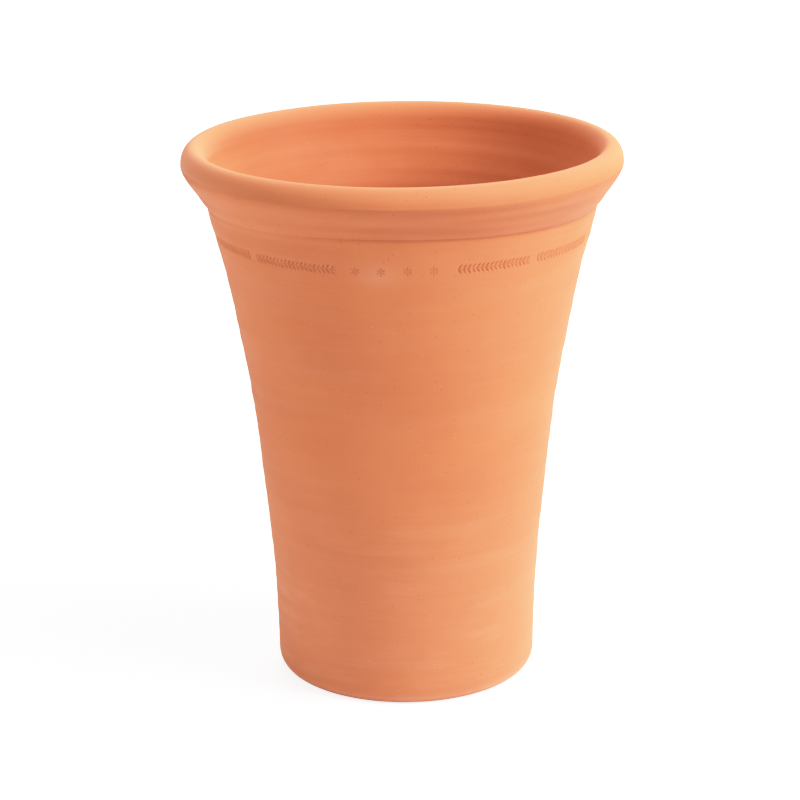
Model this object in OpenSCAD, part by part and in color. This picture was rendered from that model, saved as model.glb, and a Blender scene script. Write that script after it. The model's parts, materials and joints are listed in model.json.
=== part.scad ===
// Tall waisted flower pot of fired clay, in one piece: a flat foot with a soft edge, a long hollow
// curve up the wall, a heavy rim rolled outward over the wall, and one drain hole in the floor.
// Millimetres. The pot's axis is Z, +Z is up, and the foot stands on z = 0.

/* [Body] */
// Height from the foot to the crest of the rim
pot_h = 377; // [300:1:430]
// Diameter of the foot, where the wall rises straight up
foot_d = 182; // [150:1:200]
// Radius of the long hollow curve that the wall follows up to the rim
flare_r = 1365; // [1250:5:1800]
// Thickness of the wall
wall_t = 11; // [8:0.5:14]
// Thickness of the floor
floor_t = 13; // [9:0.5:20]
// Diameter of the drain hole through the floor
drain_d = 26; // [10:1:40]
// Radius of the hollow between floor and wall, inside
floor_cove_r = 16; // [6:1:30]

/* [Foot edge] */
// How far the rounding of the foot edge reaches in under the pot
foot_edge_in = 7.5; // [2:0.5:12]
// How far the rounding of the foot edge reaches up the wall
foot_edge_up = 11; // [3:0.5:16]

/* [Rim] */
// Diameter at the widest part of the rolled rim
rim_d = 302; // [290:1:320]
// Height of the rim, from the crease under it to its crest
rim_h = 40.5; // [36:0.5:48]
// Depth of the widest part of the roll below the crest
roll_drop = 12; // [9:0.5:16]
// How far the crest stands inside the widest part of the roll
roll_out = 9; // [6:0.5:12]
// How far the mouth stands inside the crest
lip_in = 8.5; // [6:0.5:10]
// Depth of the narrowest part of the lip below the crest
lip_drop = 14.5; // [10:0.5:18]
// Depth below the crest at which the flared mouth has run out into the straight inner wall
mouth_h = 62; // [52:1:80]

/* [Hidden] */
clay = [0.84, 0.50, 0.33];
foot_r = foot_d / 2;
rim_r = rim_d / 2;
crest_r = rim_r - roll_out;
mouth_r = crest_r - lip_in;
roll_z = pot_h - roll_drop;
lip_z = pot_h - lip_drop;
crease_z = pot_h - rim_h;
liner_z = pot_h - mouth_h;
cove_z = floor_t + floor_cove_r;
wall_steps = 20;
round_steps = 8;
cut_margin = 1;
// How the underside of the roll leaves the crease, outward and upward, and how far below its widest
// part the roll is already upright
crease_lead = [7.5, 11];
roll_lead = 7;
// How much of the mouth's flare follows the lip at one end and the inner wall at the other
flare_lead = 0.4;

// Radius of the wall at height z. The hollow curve is an arc, upright at the foot, and the inner face
// runs parallel to the outer face, so depth is 0 outside and the wall's thickness inside.
function wall_radius(z, depth = 0) = foot_r + flare_r - sqrt(pow(flare_r + depth, 2) - z * z);

// Slope of the wall at height z, in millimetres of radius per millimetre of height
function wall_slope(z, depth = 0) = z / sqrt(pow(flare_r + depth, 2) - z * z);

// Points of the wall's face between two heights
function wall_line(z_from, z_to, depth = 0) = [
    for (i = [0 : wall_steps])
        let (z = z_from + (z_to - z_from) * i / wall_steps)
        [wall_radius(z, depth), z]
];

// Points of a quarter ellipse round a centre, from one angle to another
function ellipse_arc(centre, rx, rz, a_from, a_to) = [
    for (i = [0 : round_steps])
        let (a = a_from + (a_to - a_from) * i / round_steps)
        [centre[0] + rx * cos(a), centre[1] + rz * sin(a)]
];

// Points of a cubic curve between p0 and p3, pulled towards p1 and p2
function bend(p0, p1, p2, p3) = [
    for (i = [0 : round_steps])
        let (t = i / round_steps, s = 1 - t)
        s * s * s * p0 + 3 * s * s * t * p1 + 3 * s * t * t * p2 + t * t * t * p3
];

// Rounded edge between the flat foot and the wall
function foot_edge() =
    let (r = wall_radius(foot_edge_up))
    ellipse_arc([r - foot_edge_in, foot_edge_up], foot_edge_in, foot_edge_up, -90, 0);

// Underside of the roll: it leaves the crease at a steady slant and turns up into the roll
function roll_underside() =
    let (crease = [wall_radius(crease_z), crease_z])
    bend(crease, crease + crease_lead, [rim_r, roll_z - roll_lead], [rim_r, roll_z]);

// The roll over the top, from its widest part over the crest and down to the narrow part of the lip
function roll_top() = concat(
    ellipse_arc([crest_r, roll_z], roll_out, roll_drop, 0, 90),
    ellipse_arc([crest_r, lip_z], lip_in, lip_drop, 90, 180)
);

// Inside of the mouth: it drops from the lip and bends in to meet the inner wall along its slope
function mouth_flare() =
    let (liner = [wall_radius(liner_z, wall_t), liner_z])
    let (lead = flare_lead * (lip_z - liner_z))
    bend([mouth_r, lip_z], [mouth_r, lip_z - lead],
         liner + lead * [wall_slope(liner_z, wall_t), 1], liner);

// Hollow between the inner wall and the floor
function floor_cove() =
    let (r = wall_radius(cove_z, wall_t))
    ellipse_arc([r - floor_cove_r, cove_z], floor_cove_r, floor_cove_r, 0, -90);

// The list without points that repeat the point before them
function without_repeats(points) = [
    for (i = [0 : len(points) - 1])
        if (i == 0 || norm(points[i] - points[i - 1]) > 0.001) points[i]
];

// Half of the pot's section, from the middle of the foot up the outside and down the inside
module half_section() {
    polygon(without_repeats(concat(
        [[0, 0]],
        foot_edge(),
        wall_line(foot_edge_up, crease_z),
        roll_underside(),
        roll_top(),
        mouth_flare(),
        wall_line(liner_z, cove_z, wall_t),
        floor_cove(),
        [[0, floor_t]]
    )));
}

module drain_hole() {
    translate([0, 0, -cut_margin])
        cylinder(h = floor_t + 2 * cut_margin, r = drain_d / 2, $fn = 96);
}

module pot() {
    color(clay)
        difference() {
            rotate_extrude($fn = 180) half_section();
            drain_hole();
        }
}

pot();
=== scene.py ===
import json
import math

import bpy
import numpy as np
from mathutils import Matrix, Vector


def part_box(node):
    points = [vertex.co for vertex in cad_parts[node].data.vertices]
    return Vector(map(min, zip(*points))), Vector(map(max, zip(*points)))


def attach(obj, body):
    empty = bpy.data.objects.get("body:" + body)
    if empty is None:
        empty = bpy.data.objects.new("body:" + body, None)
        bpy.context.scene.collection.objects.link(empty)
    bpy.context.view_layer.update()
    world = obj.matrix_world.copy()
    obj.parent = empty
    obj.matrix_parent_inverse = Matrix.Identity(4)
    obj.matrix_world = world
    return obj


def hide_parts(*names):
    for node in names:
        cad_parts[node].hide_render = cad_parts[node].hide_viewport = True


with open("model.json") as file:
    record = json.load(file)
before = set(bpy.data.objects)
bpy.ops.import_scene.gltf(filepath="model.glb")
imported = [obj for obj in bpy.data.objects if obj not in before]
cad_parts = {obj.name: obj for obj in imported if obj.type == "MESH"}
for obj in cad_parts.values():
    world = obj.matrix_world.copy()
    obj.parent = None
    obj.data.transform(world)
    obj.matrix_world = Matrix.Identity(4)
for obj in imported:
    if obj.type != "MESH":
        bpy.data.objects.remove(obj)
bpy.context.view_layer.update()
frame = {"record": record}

# A tall thrown terracotta pot. The section is drawn in millimetres and the mesh is made in metres.
MM = 0.001
mounts = {mount["name"]: mount for mount in frame["record"]["mounts"]}

# ---------------------------------------------------------------- sizes, in millimetres
pot_low, pot_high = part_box("pot")
POT_H = pot_high.z / MM
RIM_R = (pot_high.x - pot_low.x) / 2 / MM
DRAIN_R = mounts["drain_hole"]["dims"]["r_mm"]
FLOOR_T = mounts["drain_hole"]["dims"]["length_mm"]

FOOT_R = 91.0
FLARE_R = 1365.0  # radius of the wall's long hollow curve
WALL_T = 11.0
FOOT_EDGE_IN, FOOT_EDGE_UP = 7.5, 11.0
FLOOR_COVE_R = 16.0
DRAIN_EDGE_R = 1.6

CREST_R = RIM_R - 9.0
MOUTH_R = CREST_R - 8.5
ROLL_Z = POT_H - 12.0
LIP_Z = POT_H - 14.5
CREASE_Z = POT_H - 40.5
MOUTH_Z = POT_H - 62.0
CREASE_LEAD = (7.5, 11.0)
ROLL_LEAD = 7.0
FLARE_LEAD = 0.4

# The band rolled under the rim: four repeats of four stars and two sprays of leaves. Angles are in
# degrees from the front, towards +X.
BAND_Z = 319.0
BAND_LOW, BAND_HIGH = 314.2, 323.8
BAND_REPEATS = 4
STAR_ANGLES = (-13.8, -6.4, 1.1, 8.6)
SPRAYS = ((15.6, 39.4, 17), (42.2, 70.2, 20))  # where each starts and ends, and its pairs of leaves
STAMP_DEPTH = 0.75
STAR_PETALS = 6
STAR_PETAL_AT, STAR_PETAL_LENGTH, STAR_PETAL_WIDTH = 2.0, 2.7, 1.5
STAR_DOT_R = 0.8
LEAF_AT, LEAF_LENGTH, LEAF_WIDTH = 1.75, 4.0, 1.6
LEAF_SLANT = 48  # degrees between a leaf and its stem
STEM_HALF, STEM_REACH = 0.28, 1.6
STAMP_REACH = 4.0  # half the width of the widest stamp, with some room

# ---------------------------------------------------------------- unevenness, in millimetres
# Soft hills up the section, each with its height, its middle and its width. A hollow has a minus.
WALL_SWELLS = ((1.0, 135, 48), (0.35, 247, 24))
SHOULDER_SWELL = (1.0, 325, 20)
MOUTH_SWELLS = ((1.4, 346, 13), (-0.15, LIP_Z - 5.5, 2.0), (-0.35, 334, 2.2))

# Places round the pot, each with its middle and its spread, in degrees as in the band.
SEAM_HIGH = (-12, 58)
SEAM_WIPED = (-44, 28)
# the left of the rim: dusted, and with a painted highlight
RIM_DUST_AND_HIGHLIGHT = (-80, 24)
BAND_DUSTY = (-7, 5.73)
SEAM_RISE = 4.2

# The rings that the work leaves in the clay: from one to the next, and how high or deep they are.
THROWING_PITCH, THROWING_H = 13.5, 0.08
FINGER_PITCH, FINGER_H_BELOW, FINGER_H_ABOVE = 12.0, 0.6, 0.22
WIRE_PITCH, WIRE_DEPTH = 7.0, 0.3
CURL_PITCH, CURL_H = 10.0, 0.45

# Unevenness with no pattern, and how far the rim is out of round and out of level.
WALL_UNEVEN, ROLL_UNEVEN = 0.13, 0.07
OUT_OF_ROUND, OUT_OF_LEVEL = 0.2, 0.12
SEAM_BEAD_H, SEAM_WIPED_H, SEAM_DEPTH = 0.9, 1.1, 0.85

# ---------------------------------------------------------------- mesh resolution
COARSE = 208  # faces round the pot
SPLIT = 8  # each of them is this many faces in the stamped band
FINE = COARSE * SPLIT
SEED = 11


def lerp(a, b, t):
    return a + (b - a) * t


def smooth_step(low, high, x):
    t = np.clip((x - low) / (high - low), 0, 1)
    return t * t * (3 - 2 * t)


def bump(x, centre, width):
    """A soft hill of height 1 at centre."""
    return np.exp(-(((x - centre) / width) ** 2))


def hills(z, *shapes):
    """The sum of soft hills, each given by its height, its middle and its width."""
    return sum(height * bump(z, middle, width) for height, middle, width in shapes)


def turn(angle):
    """An angle brought to within half a turn of zero."""
    return (angle + math.pi) % (2 * math.pi) - math.pi


def round_about(phi, middle, spread):
    """A soft hill of height 1 round the pot, with its middle and its spread in degrees."""
    return bump(turn(phi - math.radians(middle)), 0, math.radians(spread))


def on(part, *names):
    """A row that is true for the points of the named stretches of the section."""
    return np.isin(part, names)[None, :]


# ---------------------------------------------------------------- the section
def wall_radius(z, depth=0.0):
    return FOOT_R + FLARE_R - np.sqrt((FLARE_R + depth) ** 2 - z * z)


def wall_slope(z, depth):
    return z / math.sqrt((FLARE_R + depth) ** 2 - z * z)


def ellipse(centre, rx, rz, start, end, count):
    a = np.radians(np.linspace(start, end, count))[None, :]
    return centre[0] + rx * np.cos(a), centre[1] + rz * np.sin(a)


def bend(p0, p1, p2, p3, count):
    t = np.linspace(0, 1, count)[None, :]
    s = 1 - t
    return tuple(
        s**3 * p0[i] + 3 * s * s * t * p1[i] + 3 * s * t * t * p2[i] + t**3 * p3[i]
        for i in (0, 1)
    )


def straight(p0, p1, count):
    t = np.linspace(0, 1, count)[None, :]
    return lerp(p0[0], p1[0], t), lerp(p0[1], p1[1], t)


def wall_line(z0, z1, count, depth=0.0):
    z = lerp(z0, z1, np.linspace(0, 1, count)[None, :])
    return wall_radius(z, depth), z


def crease_height(phi):
    """The seam under the roll wanders: it is highest a little left of the front."""
    return CREASE_Z + SEAM_RISE * round_about(phi, *SEAM_HIGH)


def smear(phi):
    """How far the seam is wiped over, 0 to 1. It is wiped over to the left of the front."""
    return round_about(phi, *SEAM_WIPED)


def section(phi):
    """(parts, radii, heights): the pot's closed section at each angle, a row for each angle. parts
    names the stretch that each point belongs to."""
    seam_z = crease_height(phi)[:, None]
    seam = (wall_radius(seam_z), seam_z)
    foot_edge_r = wall_radius(FOOT_EDGE_UP) - FOOT_EDGE_IN
    cove_z = FLOOR_T + FLOOR_COVE_R
    cove_r = wall_radius(cove_z, WALL_T) - FLOOR_COVE_R
    liner = (wall_radius(MOUTH_Z, WALL_T), MOUTH_Z)
    lead = FLARE_LEAD * (LIP_Z - MOUTH_Z)
    hole_r = DRAIN_R + DRAIN_EDGE_R
    stretches = [
        ("drain_edge", ellipse((hole_r, DRAIN_EDGE_R), DRAIN_EDGE_R, DRAIN_EDGE_R, 180, 270, 5)),
        ("underside", straight((hole_r, 0), (foot_edge_r, 0), 20)),
        ("foot_edge", ellipse((foot_edge_r, FOOT_EDGE_UP), FOOT_EDGE_IN, FOOT_EDGE_UP, 270, 360, 9)),
        ("wall", wall_line(FOOT_EDGE_UP, BAND_LOW, 118)),
        ("band", wall_line(BAND_LOW, BAND_HIGH, 19)),
        ("wall", wall_line(BAND_HIGH, seam_z, 11)),
        (
            "underroll",
            bend(
                seam,
                (seam[0] + CREASE_LEAD[0], seam[1] + CREASE_LEAD[1]),
                (RIM_R, ROLL_Z - ROLL_LEAD),
                (RIM_R, ROLL_Z),
                24,
            ),
        ),
        ("roll", ellipse((CREST_R, ROLL_Z), RIM_R - CREST_R, POT_H - ROLL_Z, 0, 90, 13)),
        ("lip", ellipse((CREST_R, LIP_Z), CREST_R - MOUTH_R, POT_H - LIP_Z, 90, 180, 14)),
        (
            "flare",
            bend(
                (MOUTH_R, LIP_Z),
                (MOUTH_R, LIP_Z - lead),
                (
                    liner[0] + lead * wall_slope(MOUTH_Z, WALL_T),
                    liner[1] + lead,
                ),
                liner,
                26,
            ),
        ),
        ("liner", wall_line(MOUTH_Z, cove_z, 60, WALL_T)),
        ("cove", ellipse((cove_r, cove_z), FLOOR_COVE_R, FLOOR_COVE_R, 360, 270, 9)),
        ("floor", straight((cove_r, FLOOR_T), (hole_r, FLOOR_T), 16)),
        (
            "drain_edge",
            ellipse((hole_r, FLOOR_T - DRAIN_EDGE_R), DRAIN_EDGE_R, DRAIN_EDGE_R, 90, 180, 5),
        ),
        ("bore", straight((DRAIN_R, FLOOR_T - DRAIN_EDGE_R), (DRAIN_R, DRAIN_EDGE_R), 6)),
    ]
    parts, radii, heights = [], [], []
    for name, (r, z) in stretches:
        count = max(np.shape(r)[1], np.shape(z)[1]) - 1  # the next stretch starts at this one's end
        parts += [name] * count
        radii.append(np.broadcast_to(r, (len(phi), count + 1))[:, :-1])
        heights.append(np.broadcast_to(z, (len(phi), count + 1))[:, :-1])
    return np.array(parts), np.hstack(radii), np.hstack(heights)


# ---------------------------------------------------------------- relief
def hand_noise(phi, z, waves, turns, wavelength, seed):
    """Smooth unevenness with no seam round the pot, mostly within -1.5 to 1.5. turns is the most waves
    round the pot, and wavelength is the shortest up it."""
    rng = np.random.default_rng(seed)
    total = 0.0
    for _ in range(waves):
        around = rng.integers(0, turns + 1)
        up = rng.uniform(-1, 1) * 2 * math.pi / wavelength
        total = total + np.cos(around * phi + up * z + rng.uniform(0, 2 * math.pi))
    return total / math.sqrt(waves)


def petal(along, up, length, width):
    """Depth of a pointed oval dent that lies along the first axis, 0 to 1."""
    taper = np.clip(1 - (2 * along / length) ** 2, 0, 1)
    across = np.clip(1 - (2 * up / (width * np.sqrt(taper) + 1e-6)) ** 2, 0, 1)
    return across * np.sqrt(taper)


def star(x, z):
    """Depth of a small stamped star of petals round a dot."""
    depth = np.clip(1.2 - np.hypot(x, z) / STAR_DOT_R, 0, 1)
    for k in range(STAR_PETALS):
        a = (k + 0.5) * 2 * math.pi / STAR_PETALS
        along = x * math.cos(a) + z * math.sin(a)
        up = -x * math.sin(a) + z * math.cos(a)
        dent = petal(along - STAR_PETAL_AT, up, STAR_PETAL_LENGTH, STAR_PETAL_WIDTH)
        depth = np.maximum(depth, dent)
    return depth


def leaf_pair(x, z):
    """Depth of two leaves that spread from a stem, as on a spray of laurel."""
    depth = 0.8 * np.clip(1.6 - np.abs(z) / STEM_HALF, 0, 1) * (np.abs(x) < STEM_REACH)
    for side in (-1, 1):
        a = side * math.radians(LEAF_SLANT)
        dz = z - side * LEAF_AT
        along = x * math.cos(a) + dz * math.sin(a)
        up = -x * math.sin(a) + dz * math.cos(a)
        depth = np.maximum(depth, petal(along, up, LEAF_LENGTH, LEAF_WIDTH))
    return depth


def band_stamps(phi, z):
    """Depth of the stamped marks, 0 to 1, at angles phi and heights z."""
    rng = np.random.default_rng(SEED)
    radius = wall_radius(BAND_Z)
    depth = np.zeros(np.broadcast(phi, z).shape)
    marks = []
    for repeat in range(BAND_REPEATS):
        offset = repeat * 360 / BAND_REPEATS
        marks += [(star, offset + angle) for angle in STAR_ANGLES]
        for start, end, count in SPRAYS:
            angles = [lerp(start, end, (k + 0.5) / count) for k in range(count)]
            marks += [(leaf_pair, offset + angle) for angle in angles]
    for shape, angle in marks:
        force = rng.uniform(0.6, 0.8) if shape is star else rng.uniform(0.75, 1.0)
        lift = rng.uniform(-0.2, 0.2)
        x = turn(phi - math.radians(angle)) * radius
        near = np.abs(x[:, 0]) < STAMP_REACH
        depth[near] = np.maximum(depth[near], force * shape(x[near], z[near] - BAND_Z - lift))
    return depth


def throwing_rings(phi, z):
    """The rings and hollows that throwing leaves outside. They run up the wall as a screw."""
    rings = np.sin(2 * math.pi * z / THROWING_PITCH - phi)
    return THROWING_H * rings + WALL_UNEVEN * hand_noise(phi, z, 14, 3, 16, SEED + 1)


def finger_rings(phi, z):
    """The rings that the fingers leave inside. They are deepest low down and stop short of the lip."""
    depth = lerp(FINGER_H_BELOW, FINGER_H_ABOVE, smooth_step(180, 330, z))
    fade = smooth_step(30, 60, z) * (1 - smooth_step(LIP_Z - 16, LIP_Z - 2, z))
    rings = np.sin(2 * math.pi * z / FINGER_PITCH - phi)
    return fade * depth * (rings + 0.5 * hand_noise(phi, z, 12, 3, 20, SEED + 2))


def seam_bead(phi, z):
    """The soft bead that the clay makes just above the seam under the roll."""
    return SEAM_BEAD_H * bump(z, crease_height(phi) + 5.5, 3.0) * (0.35 + 0.65 * smear(phi))


def seam_groove(phi, z):
    """The groove of the seam itself. Where the seam is wiped over, clay fills it and stands proud."""
    groove = bump(z, crease_height(phi), 1.1) * (1 - 0.75 * smear(phi))
    filling = smear(phi) * bump(z, crease_height(phi), 3.5)
    return SEAM_WIPED_H * filling - SEAM_DEPTH * groove


def wire_marks(phi, r):
    """The marks under the foot where a twisted wire cut the pot off the wheel."""
    wire = 0.5 + 0.5 * np.sin(2 * math.pi * r / WIRE_PITCH + 1.3 * np.sin(phi + 0.7))
    edges = smooth_step(DRAIN_R + 2, DRAIN_R + 8, r) * (1 - smooth_step(FOOT_R - 22, FOOT_R - 10, r))
    return -WIRE_DEPTH * edges * wire


def floor_curl(phi, r):
    """The curl that the fingers leave on the floor as they move out from the middle."""
    curl = np.sin(2 * math.pi * r / CURL_PITCH + phi)
    return CURL_H * smooth_step(DRAIN_R + 3, DRAIN_R + 10, r) * curl


def relief(part, phi, r, z):
    """Millimetres that the surface stands out of the plain section, and the depth of the stamps."""
    outside = on(part, "wall", "band")
    out = outside * smooth_step(12, 40, z) * (throwing_rings(phi, z) + hills(z, *WALL_SWELLS))
    shoulder = hills(z, SHOULDER_SWELL) * (1 - smooth_step(345, 360, z))
    out += (outside | on(part, "underroll")) * shoulder
    out += on(part, "liner", "flare") * finger_rings(phi, z)
    out += on(part, "flare") * hills(z, *MOUTH_SWELLS)
    out += on(part, "roll", "lip") * ROLL_UNEVEN * (hand_noise(phi, z, 16, 9, 22, SEED + 3) - 1.5)
    out += on(part, "underroll") * seam_bead(phi, z)
    out += on(part, "underroll", "wall") * seam_groove(phi, z)
    out += on(part, "underside") * wire_marks(phi, r)
    out += on(part, "floor") * floor_curl(phi, r)

    stamps = np.zeros_like(z)
    band = part == "band"
    stamps[:, band] = band_stamps(np.broadcast_to(phi, z.shape)[:, band], z[:, band])
    return out - STAMP_DEPTH * stamps, stamps


def painted_shade_marks(part, phi, z):
    """How much painted shade there is, 0 to 1: in the seam, on the underside of the roll, and deep
    inside.
    """
    seam = 0.6 * bump(z, crease_height(phi), 1.6) * on(part, "underroll", "wall")
    patchy = 1 + 0.25 * hand_noise(phi, z, 14, 5, 7, SEED + 4)
    under = 0.54 * on(part, "underroll") * patchy
    inside = 0.33 * on(part, "flare", "liner") * (1 - smooth_step(322, 346, z))
    return np.maximum(seam, under) * (1 - 0.8 * smear(phi)) + inside


def dust_and_highlight_marks(part, phi, z):
    """How pale the clay is made, 0 to 1: dusted along the foot and below one star, and at the left of
    the rim dusted and with a painted highlight.
    """
    rim = 0.62 * on(part, "roll", "lip") * round_about(phi, *RIM_DUST_AND_HIGHLIGHT)
    foot = 0.4 * on(part, "foot_edge") * bump(z, 4.5, 2.5)
    band = 0.3 * on(part, "wall", "band") * round_about(phi, *BAND_DUSTY) * bump(z, 316, 8)
    return rim + foot + band


def wobble(phi, r, z):
    """The pot isn't quite round or level. Its radius and its height only shrink."""
    share = smooth_step(0, POT_H, z)
    oval = 0.5 - 0.5 * np.cos(2 * phi + 0.9)
    tip = 0.5 - 0.5 * np.cos(phi - 2.0)
    top = smooth_step(POT_H - 40, POT_H, z)
    return r - OUT_OF_ROUND * share * oval, z - OUT_OF_LEVEL * top * tip


# ---------------------------------------------------------------- the mesh
def stitch(coarse, fine, flip):
    """Triangles between a coarse ring and a fine ring. flip turns them over."""
    faces = []
    for k in range(COARSE):
        left, right = int(coarse[k]), int(coarse[(k + 1) % COARSE])
        edge = [int(fine[(k * SPLIT + j) % FINE]) for j in range(SPLIT + 1)]
        middle = SPLIT // 2
        for j in range(SPLIT):
            faces.append((left if j < middle else right, edge[j + 1], edge[j]))
        faces.append((left, right, edge[middle]))
    return [face[::-1] for face in faces] if flip else faces


def pot_mesh():
    phi = (np.arange(FINE) * 2 * math.pi / FINE)[:, None]
    part, r, z = section(phi[:, 0])
    out, stamps = relief(part, phi, r, z)
    # darker in the stamps, and painted shade in the seam, under the roll and deep inside
    marks = np.maximum(stamps, painted_shade_marks(part, phi, z))
    # dusted clay, and a painted highlight at the left of the rim
    dust = dust_and_highlight_marks(part, phi, z)

    # the section runs anticlockwise with the clay on its left, so its right side is the outside
    dr = np.roll(r, -1, 1) - np.roll(r, 1, 1)
    dz = np.roll(z, -1, 1) - np.roll(z, 1, 1)
    length = np.hypot(dr, dz)
    r, z = wobble(phi, r + out * dz / length, z - out * dr / length)
    xyz = np.stack([r * np.sin(phi), -r * np.cos(phi), z], axis=2) * MM

    rows, kept = [], []
    first = 0
    for name in part:
        fine = name == "band"
        count = FINE if fine else COARSE
        rows.append((fine, first + np.arange(count)))
        kept.append(slice(None, None, 1 if fine else SPLIT))
        first += count

    def gather(values):
        return np.concatenate([values[step, i] for i, step in enumerate(kept)])

    faces = []
    for (fine_a, a), (fine_b, b) in zip(rows, rows[1:] + rows[:1]):
        if fine_a == fine_b:
            faces += np.stack([a, np.roll(a, -1), np.roll(b, -1), b], axis=1).tolist()
        elif fine_b:
            faces += stitch(a, b, False)
        else:
            faces += stitch(b, a, True)

    mesh = bpy.data.meshes.new("terracotta_pot")
    mesh.from_pydata(gather(xyz).tolist(), [], faces)
    # one attribute holds the stamps and painted shade, the other dusted clay and a painted highlight
    for name, values in (("stamp", marks), ("dust", dust)):
        mesh.attributes.new(name, "FLOAT", "POINT").data.foreach_set("value", gather(values))
    mesh.polygons.foreach_set("use_smooth", [True] * len(mesh.polygons))
    mesh.update()
    return mesh


# ---------------------------------------------------------------- materials
CLAY_WARM = (0.640, 0.193, 0.072, 1)
CLAY_DEEP = (0.600, 0.173, 0.063, 1)
CLAY_PALE = (0.690, 0.233, 0.096, 1)
# paler for the worn top of the rim, with a painted highlight there
CLAY_RUBBED_AND_HIGHLIGHT = (0.790, 0.263, 0.112, 1)
# also the colour of the painted highlight at the left of the rim
LIME_BLOOM_AND_HIGHLIGHT = (0.760, 0.350, 0.210, 1)
GROG_DARK = (0.330, 0.085, 0.033, 1)
# darker for the stamps and for painted shade
STAMP_AND_SHADE_DARK = (0.360, 0.080, 0.027, 1)
PAPER = ((0.90, 0.90, 0.90, 1), (0.93, 0.93, 0.93, 1))
SHEEN_TINT = (1.0, 0.92, 0.84, 1)


def node(tree, kind, inputs=None, **settings):
    """A new shader node. inputs holds a value or a socket for each input, by name or number."""
    made = tree.nodes.new(kind)
    for key, value in settings.items():
        setattr(made, key, value)
    for key, value in (inputs or {}).items():
        if isinstance(value, bpy.types.NodeSocket):
            tree.links.new(value, made.inputs[key])
        else:
            made.inputs[key].default_value = value
    return made


def new_material(name):
    material = bpy.data.materials.new(name)
    material.use_nodes = True
    tree = material.node_tree
    return material, tree, tree.nodes["Principled BSDF"]


def noise(tree, place, scale, detail=3.0, roughness=0.5, stretch=(1, 1, 1)):
    """A noise field, stretched along an axis where that axis's number is small."""
    spot = node(tree, "ShaderNodeMapping", {"Vector": place, "Scale": stretch}).outputs[0]
    inputs = {"Vector": spot, "Scale": scale, "Detail": detail, "Roughness": roughness}
    return node(tree, "ShaderNodeTexNoise", inputs).outputs["Fac"]


def between(tree, value, low, high, to_low=0.0, to_high=1.0):
    """value carried smoothly from the range low-high to the range to_low-to_high, and held there."""
    inputs = {"Value": value, "From Min": low, "From Max": high, "To Min": to_low, "To Max": to_high}
    return node(tree, "ShaderNodeMapRange", inputs, interpolation_type="SMOOTHSTEP").outputs[0]


def calc(tree, operation, a, b):
    return node(tree, "ShaderNodeMath", {0: a, 1: b}, operation=operation).outputs[0]


def blend(tree, share, a, b):
    """Colour a with a share of colour b. Any of them may be a value or a socket."""
    made = node(tree, "ShaderNodeMix", data_type="RGBA", blend_type="MIX", clamp_factor=True)
    for number, value in ((0, share), (6, a), (7, b)):
        if isinstance(value, bpy.types.NodeSocket):
            tree.links.new(value, made.inputs[number])
        else:
            made.inputs[number].default_value = value
    return made.outputs[2]


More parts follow.
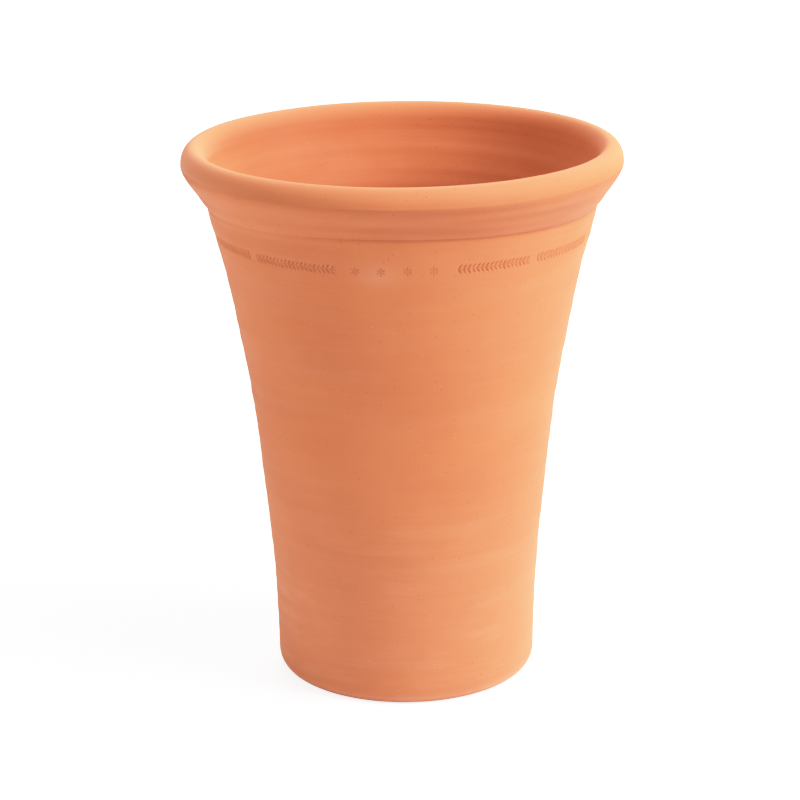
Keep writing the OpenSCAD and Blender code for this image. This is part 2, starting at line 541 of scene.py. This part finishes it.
def terracotta():
    """Porous fired clay: warm orange body, soft clouding, throwing streaks, lime-bloomed patches and
    fine grog, with a painted highlight on the rim and painted shade in the seam, under the roll and deep
    inside.
    """
    material, tree, shader = new_material("terracotta")
    place = node(tree, "ShaderNodeTexCoord").outputs["Object"]
    height = node(tree, "ShaderNodeSeparateXYZ", {0: place}).outputs["Z"]

    clouds = noise(tree, place, 11, 4, 0.55)
    patches = noise(tree, place, 30, 4, 0.6, stretch=(0.6, 0.6, 1.7))
    streaks = noise(tree, place, 1, 4, 0.6, stretch=(7, 7, 120))
    threads = noise(tree, place, 1, 3, 0.6, stretch=(12, 12, 520))
    grain = noise(tree, place, 1100, 2, 0.6)
    grog = node(tree, "ShaderNodeTexVoronoi", {"Vector": place, "Scale": 330.0})

    # the body colour, in soft clouds, with paler streaks and threads round the pot
    colour = blend(tree, between(tree, clouds, 0.35, 0.65), CLAY_DEEP, CLAY_WARM)
    colour = blend(tree, between(tree, streaks, 0.42, 0.7, 0, 0.13), colour, CLAY_PALE)
    colour = blend(tree, between(tree, threads, 0.5, 0.75, 0, 0.12), colour, CLAY_PALE)

    # lime bloom, low on the wall in patches and where the mesh is marked as dusty, with a painted
    # highlight at the left of the rim
    low = between(tree, height, 0.19, 0.06)
    wiped = calc(tree, "MULTIPLY", between(tree, patches, 0.4, 0.7), between(tree, streaks, 0.3, 0.65))
    bloom_and_highlight = calc(tree, "MULTIPLY", low, calc(tree, "ADD", calc(tree, "MULTIPLY", wiped, 0.25), 0.12))
    dust_and_highlight_share = node(tree, "ShaderNodeAttribute", attribute_name="dust").outputs["Fac"]
    dust_and_highlight_share = calc(tree, "MULTIPLY", dust_and_highlight_share, between(tree, patches, 0.3, 0.6, 0.5, 1))
    bloom_and_highlight = calc(tree, "ADD", bloom_and_highlight, dust_and_highlight_share)
    colour = blend(tree, bloom_and_highlight, colour, LIME_BLOOM_AND_HIGHLIGHT)

    # the top of the rim, paler: rubbed by handling, and a painted highlight
    rubbed_and_highlight = between(tree, height, 0.364, 0.3755, 0, 0.7)
    colour = blend(tree, rubbed_and_highlight, colour, CLAY_RUBBED_AND_HIGHLIGHT)

    # specks of grog, a few of them dark and a few light, and fine grain
    speck = between(tree, grog.outputs["Distance"], 0.1, 0.28, 1, 0)
    chosen = node(tree, "ShaderNodeSeparateColor", {0: grog.outputs["Color"]})
    dark = calc(tree, "MULTIPLY", speck, between(tree, chosen.outputs["Red"], 0.86, 0.98, 0, 0.45))
    light = calc(tree, "MULTIPLY", speck, between(tree, chosen.outputs["Green"], 0.9, 1.0, 0, 0.3))
    colour = blend(tree, dark, colour, GROG_DARK)
    colour = blend(tree, light, colour, LIME_BLOOM_AND_HIGHLIGHT)
    colour = blend(tree, between(tree, grain, 0.3, 0.7, 0, 0.14), colour, CLAY_DEEP)

    # darker in the stamps, and painted shade in the seam, under the roll and deep inside, where the mesh
    # marks them
    stamp = node(tree, "ShaderNodeAttribute", attribute_name="stamp").outputs["Fac"]
    colour = blend(tree, between(tree, stamp, 0.05, 0.9, 0, 0.55), colour, STAMP_AND_SHADE_DARK)
    tree.links.new(colour, shader.inputs["Base Color"])

    rough = between(tree, patches, 0.3, 0.7, 0.74, 0.9)
    tree.links.new(rough, shader.inputs["Roughness"])
    shader.inputs["Specular IOR Level"].default_value = 0.35
    shader.inputs["Diffuse Roughness"].default_value = 0.6
    shader.inputs["Sheen Weight"].default_value = 0.06
    shader.inputs["Sheen Roughness"].default_value = 0.5
    shader.inputs["Sheen Tint"].default_value = SHEEN_TINT

    # grain, fine throwing lines and open pores, too small for the mesh
    pores = calc(tree, "MULTIPLY", speck, between(tree, chosen.outputs["Blue"], 0.8, 0.95, 0, -1))
    rise = calc(tree, "MULTIPLY", grain, 0.5)
    rise = calc(tree, "ADD", rise, calc(tree, "MULTIPLY", threads, 0.8))
    rise = calc(tree, "ADD", rise, pores)
    rise = node(tree, "ShaderNodeBump", {"Strength": 0.5, "Distance": 0.00025, "Height": rise})
    tree.links.new(rise.outputs[0], shader.inputs["Normal"])
    return material


def pale_floor():
    """White paper. The camera sees it brighter than it lights the pot, as in a print with its
    background burnt out to white, but not under the foot, so the drain hole looks dark."""
    material, tree, shader = new_material("studio_floor")
    place = node(tree, "ShaderNodeTexCoord").outputs["Object"]
    away = node(tree, "ShaderNodeVectorMath", {0: place}, operation="LENGTH").outputs["Value"]
    seen = node(tree, "ShaderNodeLightPath").outputs["Is Camera Ray"]
    open_floor = between(tree, away, 0.7 * FOOT_R * MM, 0.85 * FOOT_R * MM)
    glow = calc(tree, "MULTIPLY", seen, between(tree, away, 0.3, 2.0, 0.9, 1.8))
    glow = calc(tree, "MULTIPLY", glow, open_floor)
    tree.links.new(glow, shader.inputs["Emission Strength"])
    shader.inputs["Emission Color"].default_value = (1, 1, 1, 1)
    tint = between(tree, noise(tree, place, 3, 3), 0.3, 0.7)
    colour = blend(tree, tint, *PAPER)
    tree.links.new(colour, shader.inputs["Base Color"])
    shader.inputs["Roughness"].default_value = 0.9
    shader.inputs["Specular IOR Level"].default_value = 0.1
    return material


# ---------------------------------------------------------------- the pot
pot = bpy.data.objects.new("terracotta_pot", pot_mesh())
bpy.context.scene.collection.objects.link(pot)
pot.data.materials.append(terracotta())
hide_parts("pot")
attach(pot, "root")

# ---------------------------------------------------------------- the stage, in metres
FLOOR_HALF = 14.0

CAMERA_AT = (0, -1.7665, 0.7485)
CAMERA_LENS = 119.06
CAMERA_PITCH, CAMERA_YAW, CAMERA_ROLL = 17.472, -0.094, -0.528

LIGHTS_AIM = Vector((0, 0, 0.2))
LIGHTS_AWAY = 2.4
# Each light's azimuth from the front towards +X, its elevation, its size and its power.
SOFT_BOXES = {
    "key": (71, 35, 1.4, 100),
    "high": (90, 70, 1.0, 20),
    "left": (-66, 25, 1.6, 23.5),
    "behind": (180, 50, 1.2, 35),
}
SKY = 0.30

# The level that shows as white, and the curve below it: each level and how bright it shows.
WHITE = 2.2
HIGHLIGHTS = ((0.25, 0.25), (0.5, 0.5), (0.8, 0.745), (1.1, 0.872), (1.4, 0.94), (1.8, 0.985))


def floor_sheet():
    mesh = bpy.data.meshes.new("floor")
    corners = [(x * FLOOR_HALF, y * FLOOR_HALF, 0) for x, y in ((-1, -1), (1, -1), (1, 1), (-1, 1))]
    mesh.from_pydata(corners, [], [(0, 1, 2, 3)])
    sheet = bpy.data.objects.new("floor", mesh)
    bpy.context.scene.collection.objects.link(sheet)
    sheet.data.materials.append(pale_floor())


def place_camera():
    """Looks at the pot from in front and above. The angles are the photo's own."""
    data = bpy.data.cameras.new("camera")
    data.sensor_width = 36.0
    data.lens = CAMERA_LENS
    data.clip_end = 60.0
    camera = bpy.data.objects.new("camera", data)
    bpy.context.scene.collection.objects.link(camera)
    pitch, yaw, roll = (math.radians(a) for a in (CAMERA_PITCH, CAMERA_YAW, CAMERA_ROLL))
    camera.matrix_world = (
        Matrix.Translation(CAMERA_AT)
        @ Matrix.Rotation(-yaw, 4, "Z")
        @ Matrix.Rotation(math.pi / 2 - pitch, 4, "X")
        @ Matrix.Rotation(roll, 4, "Z")
    )
    bpy.context.scene.camera = camera


def soft_box(name, azimuth, elevation, size, power):
    """A white square area light aimed at the pot. The angles are in degrees."""
    data = bpy.data.lights.new(name, "AREA")
    data.shape = "SQUARE"
    data.size = size
    data.energy = power
    light = bpy.data.objects.new(name, data)
    a, e = math.radians(azimuth), math.radians(elevation)
    away = Vector((math.sin(a) * math.cos(e), -math.cos(a) * math.cos(e), math.sin(e)))
    light.location = LIGHTS_AIM + away * LIGHTS_AWAY
    light.rotation_euler = away.to_track_quat("Z", "Y").to_euler()
    bpy.context.scene.collection.objects.link(light)


def sky(strength, seen_strength):
    """Even light from all round. The camera itself sees it brighter, as a plain white backdrop."""
    world = bpy.data.worlds.new("studio")
    bpy.context.scene.world = world
    world.use_nodes = True
    tree = world.node_tree
    seen = node(tree, "ShaderNodeBackground", {"Strength": seen_strength})
    tree.nodes["Background"].inputs["Strength"].default_value = strength
    for background in (seen, tree.nodes["Background"]):
        background.inputs["Color"].default_value = (1, 1, 1, 1)
    ray = node(tree, "ShaderNodeLightPath").outputs["Is Camera Ray"]
    mixed = node(tree, "ShaderNodeMixShader", {0: ray})
    tree.links.new(tree.nodes["Background"].outputs[0], mixed.inputs[1])
    tree.links.new(seen.outputs[0], mixed.inputs[2])
    tree.links.new(mixed.outputs[0], tree.nodes["World Output"].inputs["Surface"])


def soften_highlights():
    """A shoulder for the brightest values, as a camera gives."""
    view = bpy.context.scene.view_settings
    view.view_transform = "Standard"
    view.use_curve_mapping = True
    curves = view.curve_mapping
    curves.white_level = (WHITE, WHITE, WHITE)
    shared = curves.curves[3]
    for level, shown in HIGHLIGHTS:
        shared.points.new(level / WHITE, shown)
    curves.update()


floor_sheet()
place_camera()
sky(SKY, WHITE)
for name, light in SOFT_BOXES.items():
    soft_box(name, *light)
soften_highlights()
